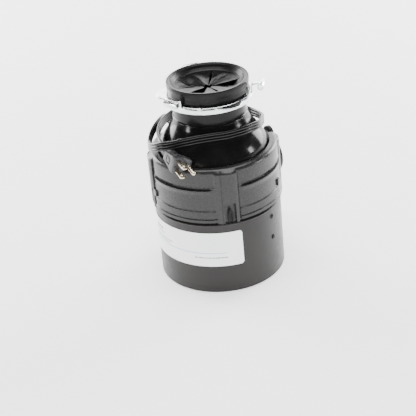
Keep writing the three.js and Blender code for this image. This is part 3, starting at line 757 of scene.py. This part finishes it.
def ring_ear(azimuth):
    """A rounded lobe of the flange and, 52 degrees on, a strap folded over into a rolled sleeve."""
    swing = math.degrees(math.acos((45 ** 2 + 19.5 ** 2 - 53.6 ** 2) / (2 * 45 * 19.5)))
    inner = math.degrees(math.asin(19.5 * math.sin(math.radians(swing)) / 53.6))
    lobe = arc(45, 0, 19.5, swing - 180, 180 - swing, 32)
    lobe += arc(0, 0, 53.6, inner, -inner, 16)
    parts = [bevelled(prism("lobe", lobe, RING_RIM - 2, RING_RIM - 0.1, ZINC, towards(azimuth)), 0.6, 3)]
    upright = Matrix(((1, 0, 0, 0), (0, 0, -1, 0), (0, 1, 0, 0), (0, 0, 0, 1)))
    side = towards(azimuth + SLEEVE_OFFSET) @ upright
    centre, height = 66, 248.3
    strap = [(53.3, RING_RIM - 1.6), (53.3, 247.4)] + arc(56.4, 247.4, 3.1, 180, 100, 6)
    strap += arc(centre, height, 4.1, 128, -150, 26) + arc(centre, height, 2.5, -150, 118, 24)
    strap += arc(56.4, 247.4, 1.4, 96, 180, 6) + [(55, RING_RIM - 1.6)]
    parts.append(bevelled(prism("strap", strap, -4.5, 4.5, ZINC, side), 0.3, 2))
    place = towards(azimuth + SLEEVE_OFFSET, height, centre) @ Matrix.Rotation(math.radians(90), 4, "X")
    sleeve = filleted([(2.5, -10, 0.3), (4.1, -10, 0.5), (4.1, 10, 0.5), (2.5, 10, 0.3)], 3)
    parts.append(revolved("sleeve", sleeve, ZINC, 40, place=place))
    return parts


def mounting_ring():
    band = revolved("band", filleted([
        (46, 236.6, 0.3), (50.6, 236.6, 1), (51.8, RING_RIM - 1.7, 0.8), (52.6, RING_RIM - 1.8, 0.6),
        (53.5, RING_RIM - 3, 0.8), (53.6, RING_FOOT, 0.2), (55, RING_FOOT, 0.5), (55, RING_RIM - 1.9, 1.6),
        (53.2, RING_RIM, 1.4), (51, RING_RIM, 0.6), (49.8, 238, 0.6), (46, 238, 0.4),
    ], 5), ZINC, ROUND)
    arch = [(-3, 0), (3, 0), (3, 3), (0, 6.4), (-3, 3)]
    notch = prism("arch", arch, 53.8, 55.6, ZINC, facing(RING_LUG_AZIMUTH, RING_RIM - 6.2))
    wedge = [(-3.4, 0), (3.4, 0), (1.9, 2.6), (-1.9, 2.6)]
    lug = prism("lug", wedge, 50.9, 56.4, ZINC, facing(RING_LUG_AZIMUTH, RING_RIM - 0.9))
    parts = [band, bevelled(notch, 0.4, 2), bevelled(lug, 0.5, 3)]
    for azimuth in EAR_AZIMUTHS:
        parts += ring_ear(azimuth)
    return joined("zinc_mounting_ring", parts)


# ---- grind container -----------------------------------------------------------------------------------
FLARE = [(68, 171), (66.5, 176), (63.5, 182), (59.5, 188), (55, 194), (51, 200), (47.6, 206), (45.8, 211)]


def container():
    wall = 2.4
    bell = [(p.x, p.y) for p, _ in centripetal([(r, z, 0) for r, z in FLARE], 5)]
    inside = [(r - wall, z - 1) for r, z in reversed(bell)]
    low = [(67.3, 151.9), (76.9, 151.9), (76.9, 153.7), (70, 153.7), (70, 166)]
    neck = [(46.1, 211.8), (46.4, 212.6), (46.1, 213.4), (45.3, 214.2), (45.2, 215.5)]
    lip = [
        (45.2, 238.2), (45.6, 238.7), (47.4, 238.8), (47.6, 239.4), (47.6, 240.8),
        (47.2, 241.2), (43.2, 241.2),
    ]
    return revolved("bell_container", low + bell + neck + lip + inside + [(67.3, 165)], GLOSS, 256, 30)


def inlet_nipple():
    outline = filleted([
        (6, 59.5, 0), (8.2, 59.5, 0), (8.2, 82.5, 0), (8.5, 83, 0.3), (8.3, 84, 0.4), (6, 84, 0.3),
    ], 4)
    place = towards(180, 180.2) @ Matrix.Rotation(math.radians(90), 4, "Y")
    return revolved("inlet_nipple", outline, GLOSS, 48, place=place)


# ---- trim shell ------------------------------------------------------------------------------------------
GROOVE_Z = 146.5
TRIM_FLOOR_R = 77.9
POCKET_TOP = 126
POCKET_HALF = 7.2
LATCHES = (-71, 70)


def boss_offset(azimuth):
    """Distance round the unit from the middle of the nearest boss, in millimetres."""
    turn = (azimuth - BOSS_AZIMUTH + 45) % 90 - 45
    return math.radians(turn) * BOSS_R


def trim_radius(azimuth, z):
    """The moulded wall as a height field: bands, groove, bead, bosses and their pockets."""
    offset = boss_offset(azimuth)
    clear = ease((abs(offset + 2.5) - 15) / 9)
    upper = ease((z - GROOVE_Z - 1.2) / 1.4)
    wall = TRIM_R - 0.9 - 0.4 * upper + 1.3 * ease((z - 138) / 6) * (1 - upper) * clear
    depth = ease((GROOVE_Z + 2.3 - z) / 0.5) * ease((z - GROOVE_Z + 1.9) / 0.5) * clear
    wall += (TRIM_FLOOR_R - wall) * depth
    wall += 1.3 * max(0.0, min(1.0, (117 - z) / 0.9)) * ease((abs(offset + 2.5) - 13.5) / 5)
    wall += 1.0 * ease((106.5 - z) / 1.2)
    if z < TRIM_LOW + 2.6:
        wall = TRIM_FLOOR_R
    if -18 < offset <= -9.8:
        rise = (offset + 18) / 8.2
        wall = max(wall, TRIM_R - 0.6 + (BOSS_R - TRIM_R) * rise)
    elif -9.8 < offset <= -8.8:
        wall = BOSS_R - 2.4
    elif -8.8 < offset < 11.2:
        wall = BOSS_R + 0.2 - 1.9 * ((offset - 1.2) / 10) ** 2
        if abs(offset) < POCKET_HALF and z < POCKET_TOP:
            wall = TRIM_FLOOR_R
    elif 11.2 <= offset < 13.4:
        wall = TRIM_R - 1.9
    return wall


def trim_azimuths(first, last):
    """Sample azimuths: an even spread, with extra ones at every boss edge."""
    edges = [-18, -9.84, -9.76, -8.84, -8.76, -POCKET_HALF - 0.04, -POCKET_HALF + 0.04, POCKET_HALF - 0.04,
             POCKET_HALF + 0.04, 11.16, 11.24, 13.36, 13.44]
    samples = set()
    step = 1.0
    count = int((last - first) / step)
    for i in range(count + 1):
        samples.add(round(first + (last - first) * i / count, 4))
    for boss in range(-4, 6):
        for edge in edges:
            azimuth = BOSS_AZIMUTH + 90 * boss + math.degrees(edge / BOSS_R)
            if first < azimuth < last:
                samples.add(round(azimuth, 4))
    ordered = sorted(samples)
    kept = [ordered[0]]
    for azimuth in ordered[1:]:
        if azimuth - kept[-1] > 0.03:
            kept.append(azimuth)
    return kept


def trim_shell():
    half_cut = math.degrees(27.5 / TRIM_R)
    azimuths = trim_azimuths(PORT_AZIMUTH + half_cut - 360, PORT_AZIMUTH - half_cut)
    heights = [TRIM_LOW + 0.5, TRIM_LOW + 2.55, TRIM_LOW + 2.65, 102, 103, 104.6, 105.2, 105.8, 106.4, 107]
    heights += [109, 111, 113, 115, 116, 116.3, 116.6, 116.9, 117.2, 118, 120, 122, 124]
    heights += [POCKET_TOP - 0.05, POCKET_TOP + 0.05] + [128 + 2 * i for i in range(8)]
    heights += [143.6 + 0.2 * i for i in range(34)] + [151, 154, 158, 162, 165.5]
    inner = TRIM_R - 3.4
    top_r = TRIM_R - 1.4
    rounding = [(top_r - 5 + 5 * math.cos(math.radians(a)), TRIM_TOP - 5 + 5 * math.sin(math.radians(a)))
                for a in range(10, 91, 10)]
    tail = rounding + [(72, TRIM_TOP), (70.6, TRIM_TOP - 0.1), (70, TRIM_TOP - 0.6), (70, TRIM_TOP - 1.8),
                       (73.5, TRIM_TOP - 2), (76, TRIM_TOP - 3), (inner, TRIM_TOP - 6), (inner, TRIM_LOW)]
    columns = []
    for azimuth in azimuths:
        wall = [(trim_radius(azimuth, z), z) for z in heights]
        lead = [(wall[0][0] - 0.5, TRIM_LOW)]
        proud = wall[-1][0] - top_r
        fade = [(r + max(0, proud) * ease((TRIM_TOP - 1 - z) / 5), z) for r, z in tail[:len(rounding)]]
        columns.append([polar(r, azimuth, z) for r, z in lead + wall + fade + tail[len(rounding):]])
    return loft(columns, "trim_moulding", SATIN, 28)


def trim_foot():
    """The low strip of the trim shell that runs on under the discharge flange."""
    half = math.degrees(27.6 / TRIM_R)
    rings = []
    for i in range(25):
        azimuth = PORT_AZIMUTH - half + 2 * half * i / 24
        rings.append([polar(r, azimuth, z) for r, z in (
            (77.6, TRIM_LOW), (80.5, TRIM_LOW), (81.3, 99.4), (81.2, 100.8), (77.6, 100.8))])
    return loft(rings, "trim_foot", SATIN, 40)


def latch(azimuth):
    outline = filleted([(-4, 118, 0.8), (4, 118, 0.8), (4, 126, 0.8), (-4, 126, 0.8)], 4)
    place = facing(azimuth, 0)
    return bevelled(prism("latch", outline, 78.5, 82.3, SATIN, place), 0.5, 3)


def boss_clip(index):
    """A folded spring clip with two splayed legs and a pointed top, standing in the pocket."""
    place = facing(BOSS_AZIMUTH + 90 * index, TRIM_LOW + 1)
    gable = [
        (-3.5, 0), (-1.9, 0), (-1.5, 9), (0, 16.4), (1.5, 9), (1.9, 0), (3.5, 0),
        (3.3, 12), (0, 20.6), (-3.3, 12),
    ]
    frame_part = bevelled(prism(f"pocket_clip_{index + 1}", gable, 79, 82.2, GLOSS, place), 0.45, 3)
    back = prism("back", [(-3.2, 0), (3.2, 0), (3, 12), (0, 18), (-3, 12)], 78.9, 79.6, GLOSS, place)
    return joined(f"pocket_clip_{index + 1}", [frame_part, back])


# ---- discharge -------------------------------------------------------------------------------------------
def flange_outline():
    half = 57 / 2
    outline = arc(0, half, 9, 20, 160, 16)
    outline += arc(0, 0, 26, 137, 223, 16)
    outline += arc(0, -half, 9, 200, 340, 16)
    outline += arc(0, 0, 26, -43, 43, 16)
    return outline


def end_bell():
    bowl = revolved("end_bell_casting", filleted([
        (9.6, 88, 0.4), (15, 88, 0.8), (18, 93, 1), (77.4, 93, 0.6), (77.4, 98, 0.5), (77, 99, 0.5),
        (72.5, 103, 2), (72.5, 146, 1.5), (77, 148.4, 0.4), (77, 150.6, 0.4), (67, 150.6, 0.4),
        (67, 114, 5), (62, 108, 2), (20, 104, 3), (14, 108, 2), (14, 140, 0.6), (9.6, 140, 0.3),
    ], 4), PAINT, 160)
    spout_place = facing(PORT_AZIMUTH, PORT_Z)
    spout = prism("spout", arc(0, 0, 21, 0, 357.5, 143), 69, PORT_FACE - 2, PAINT, spout_place)
    flange = prism("flange", flange_outline(), PORT_FACE - 4, PORT_FACE, PAINT, spout_place)
    carved(bowl, spout, operation="UNION")
    carved(bowl, flange, operation="UNION")
    carved(bowl, prism("bore", arc(0, 0, 17.5, 0, 357.5, 143), 60, PORT_FACE + 2, PAINT, spout_place))
    for y in (-28.5, 28.5):
        bolt_hole = arc(0, y, 3, 0, 350, 35)
        carved(bowl, prism("hole", bolt_hole, PORT_FACE - 8, PORT_FACE + 2, PAINT, spout_place))
    return bowl


# ---- motor can -----------------------------------------------------------------------------------------
def motor_can():
    can = revolved("motor_can", filleted([
        (70, 0.05, 0.2), (78.6, 0, 1), (SHELL_R, 1.4, 1), (SHELL_R, 95.2, 0.5), (SHELL_R + 1.2, 96.2, 0.6),
        (SHELL_R + 1.2, 97.2, 0.5), (SHELL_R - 0.4, SHELL_TOP, 0.3), (78.5, SHELL_TOP, 0.3),
        (78.5, 1.4, 0.4), (70, 1.3, 0.3),
    ], 5), PAINT, 256)
    slot_place = towards(CORD_EXIT_AZIMUTH, CORD_EXIT_Z)
    return carved(can, block("slot", (70, -4.6, -8.1), (90, 4.6, 8.1), PAINT, slot_place))


def shell_screw(index, z):
    """A low domed screw head with a cross slot, on a short shank through the can's wall."""
    place = facing(54, z)
    outline = [(0, 78.4), (1.7, 78.4), (1.7, 80.05), (3.2, 80.05), (3.2, 80.35)]
    outline += [(3.2 * math.cos(a), 80.35 + 1.05 * math.sin(a)) for a in (0.35, 0.7, 1.05, 1.35)]
    outline += [(0, 81.4)]
    screw = revolved(f"can_screw_{index + 1}", outline, PAINT, 32, 30, place)
    slots = [block("slot", (-2.1, -0.35, 80.9), (2.1, 0.35, 82), PAINT, place),
             block("slot", (-0.35, -2.1, 80.9), (0.35, 2.1, 82), PAINT, place)]
    return carved(screw, *slots)


def lower_end_frame():
    frame_part = revolved("end_frame_casting", filleted([
        (9.6, 9, 0.3), (13, 9, 0.5), (14, 8.2, 0.5), (18, 8.2, 0.5), (19, 9, 0.8), (62, 9, 1.5), (66, 6, 2),
        (73, 5.4, 2), (74.2, 1.8, 0.5), (78, 1.7, 0.2), (78, 14, 0.5), (75.6, 14, 0.5), (74, 12, 1),
        (15, 12, 1), (14, 14, 1), (14, 22, 0.5), (9.6, 22, 0.3),
    ], 4), ALLOY, 160)
    hole = prism("hole", arc(48, 0, 4.4, 0, 352, 44), 5, 14, ALLOY, towards(60))
    screw_holes = [prism("hole", arc(46, x, 1.9, 0, 340, 17), 5, 14, ALLOY, towards(150)) for x in (-22, 22)]
    return carved(frame_part, hole, *screw_holes)


# ---- label ---------------------------------------------------------------------------------------------
def wrapped(name, outline, low_r, high_r, look):
    """A flat outline in millimetres round the can and up it, wrapped on to the can's wall."""
    work = bmesh.new()
    ring = [work.verts.new((x, y, 0)) for x, y in outline]
    work.faces.new(ring)
    bmesh.ops.triangulate(work, faces=work.faces[:])
    left = min(x for x, _ in outline)
    right = max(x for x, _ in outline)
    cut_at = left + 2.0
    while cut_at < right - 0.01:
        everything = work.verts[:] + work.edges[:] + work.faces[:]
        bmesh.ops.bisect_plane(work, geom=everything, plane_co=(cut_at, 0, 0), plane_no=(1, 0, 0))
        cut_at += 2.0
    flat = bmesh.ops.extrude_face_region(work, geom=work.faces[:])
    for item in flat["geom"]:
        if isinstance(item, bmesh.types.BMVert):
            item.co.z = 1
    verts = []
    for vert in work.verts:
        vert.index = len(verts)
        radius = high_r if vert.co.z > 0.5 else low_r
        verts.append(polar(radius, math.degrees(vert.co.x / SHELL_R), vert.co.y))
    faces = [tuple(v.index for v in face.verts) for face in work.faces]
    work.free()
    return new_object(name, verts, faces, look, 40)


def arc_length(azimuth):
    return math.radians(azimuth) * SHELL_R


def rating_label():
    left, right = arc_length(LABEL_FROM), arc_length(LABEL_TO)
    outline = filleted([
        (left, LABEL_LOW, 4), (right, LABEL_LOW, 4), (right, LABEL_HIGH, 4), (left, LABEL_HIGH, 4),
    ], 8)
    return wrapped("label_film", outline, SHELL_R + 0.3, SHELL_R + 0.68, FILM)


def label_marks():
    """Generic print: short dark bars, as text looks too small to read, and one thin rule."""
    random.seed(11)
    low, high = SHELL_R + 0.6, SHELL_R + 0.7
    rows = [(-79, -66, 74.5, 2.6, 1.2), (-79, -62, 69.8, 1.4, 0.7), (-78, -50, 63.5, 1.1, 0.6),
            (-76, -54, 60.4, 1.1, 0.6), (-26, 4, 50.5, 1.5, 0.8)]
    marks = []
    for start, stop, z, tall, between in rows:
        x = arc_length(start)
        while x < arc_length(stop):
            wide = tall * random.uniform(0.5, 1.9)
            corners = [(x, z), (x + wide, z), (x + wide, z + tall), (x, z + tall)]
            marks.append(wrapped("mark", corners, low, high, DARK_INK))
            x += wide + between * random.uniform(0.5, 1.3)
    dark = joined("label_print", marks)
    left, right = arc_length(-82), arc_length(3)
    stripe = [(left, 57.2), (right, 57.2), (right, 58), (left, 58)]
    rule = wrapped("label_rule", stripe, low, high, BLUE_INK)
    return dark, rule


# ---- build ---------------------------------------------------------------------------------------------
add_camera()

cord, cord_length, cord_path = power_cord()
settle(cord, "root", "cord", "power_cord")
plug = settle(plug_body(), "root", "cord", "plug_body")
blades = [settle(plug_blade("plug_blade_stamped_a", -1), "root", "nickel", "plug_blade_hot"),
          settle(plug_blade("plug_blade_stamped_b", 1), "root", "nickel", "plug_blade_neutral")]
pin = settle(ground_pin(), "root", "nickel", "plug_ground_pin")
boot = settle(strain_relief(), "root", "cord", "strain_relief")

add_studio()
settle(mounting_gasket(), "root", "rubber", "mounting_gasket")
settle(mounting_ring(), "mounting_ring", "zinc", "lower_mounting_ring")
settle(container(), "root", "gloss_black", "container_body")
settle(inlet_nipple(), "root", "gloss_black")
settle(trim_shell(), "root", "satin_black", "trim_shell")
settle(trim_foot(), "root", "satin_black")
for i, azimuth in enumerate(LATCHES):
    settle(latch(azimuth), "root", "satin_black").name = f"trim_latch_{i + 1}"
for i in range(4):
    settle(boss_clip(i), "root", "satin_black", f"boss_clip_{i + 1}")
settle(end_bell(), "root", "alloy", "upper_end_bell")
settle(motor_can(), "root", "paint", "lower_shell")
for i, z in enumerate((84, 55)):
    settle(shell_screw(i, z), "root", "paint", f"shell_screw_{i + 1}")
settle(lower_end_frame(), "root", "alloy", "lower_end_frame")
settle(rating_label(), "root", "label", "rating_label")
for marks in label_marks():
    settle(marks, "root", "label")

slot_of = {row["node"]: row["material_slot"] for row in frame["record"]["subparts"]}
for name, node in frame["nodes"].items():
    look = SLOT_LOOKS[slot_of[name]]
    for index in range(max(1, len(node.material_slots))):
        if not node.material_slots:
            node.data.materials.append(look)
        node.material_slots[index].material = look
